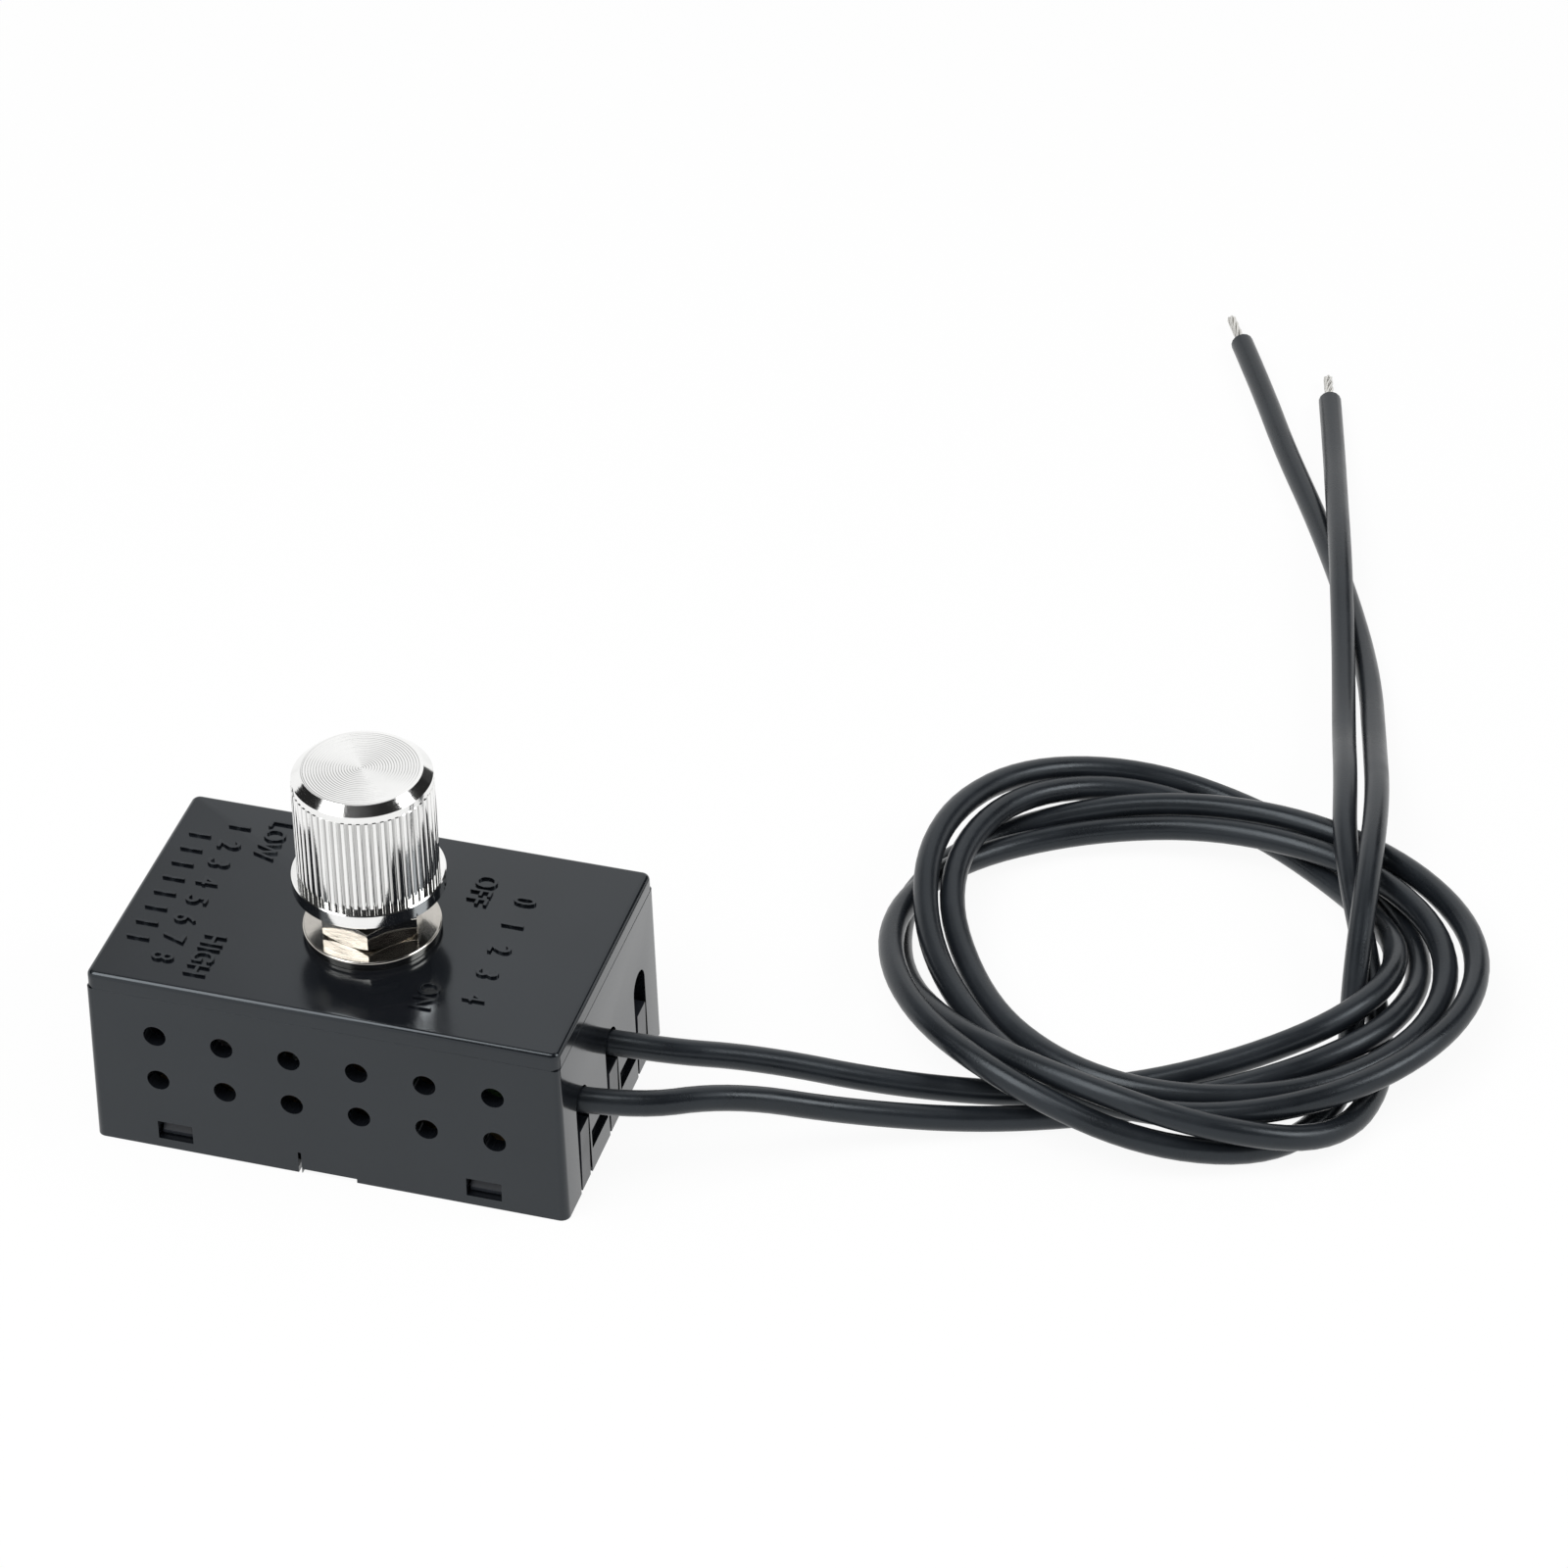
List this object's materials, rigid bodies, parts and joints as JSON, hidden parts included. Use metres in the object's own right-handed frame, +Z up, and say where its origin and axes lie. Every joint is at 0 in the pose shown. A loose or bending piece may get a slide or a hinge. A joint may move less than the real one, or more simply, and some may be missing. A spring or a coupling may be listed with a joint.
{
  "type": "rotary dimmer switch",
  "caption": "Small boxed rotary dimmer with a fluted metal knob on top, vented black casing, snap-in base and loose hook-up wires.",
  "frame": {"origin": "centre of the casing's base, where it rests", "axes": "+Z up along the knob, +X along the casing towards the wired end, -Y towards its vented front"},
  "size_m": [0.1392, 0.1852, 0.0432],
  "materials": {
    "casing_plastic": "moulded black plastic, semi-gloss",
    "plate_plastic": "moulded black plastic",
    "board": "phenolic board",
    "tinned": "tinned",
    "solder": "solder",
    "zinc_plate": "zinc plated",
    "nickel": "nickel plated",
    "wafer": "phenolic",
    "white_plastic": "moulded",
    "aluminium_shaft": "turned",
    "switch_plastic": "moulded",
    "knob_metal": "turned and fluted, bright",
    "insert_plastic": "moulded",
    "sink_metal": "extruded",
    "package": "moulded epoxy",
    "film_block": "moulded case",
    "small_block": "dipped",
    "ferrite": "ferrite",
    "copper": "enamelled copper",
    "resistor_body": "lacquered",
    "diode_glass": "glass body",
    "wire_jacket": "black satin jacket"
  },
  "bodies": {
    "casing": {"casing": "casing_plastic", "base_plate": "plate_plastic", "circuit_board": "board", "lead_lugs": "tinned", "solder_joints": "solder", "pot_cover": "zinc_plate", "pot_bushing": "nickel", "pot_wafer": "wafer", "pot_terminals": "tinned", "switch_block": "switch_plastic", "switch_pins": "tinned", "lock_washer": "nickel", "flat_washer": "nickel", "hex_nut": "nickel", "heat_sink": "sink_metal", "triac": "package", "triac_screw": "nickel", "film_capacitor": "film_block", "small_capacitor": "small_block", "choke_core": "ferrite", "choke_winding": "copper", "resistors": "resistor_body", "diac": "diode_glass", "wire_1": "wire_jacket", "wire_2": "wire_jacket", "wire_1_tip": "tinned", "wire_2_tip": "tinned"},
    "knob": {"knob": "knob_metal", "knob_insert": "insert_plastic", "pot_shaft": "aluminium_shaft", "pot_wiper": "white_plastic"}
  },
  "joints": [
    {"name": "knob_turn", "type": "hinge", "parent": "casing", "child": "knob", "pos_m": [0.0006, -0.001, 0.03], "axis": [0, 0, -1], "range_deg": [0, 300]}
  ]
}
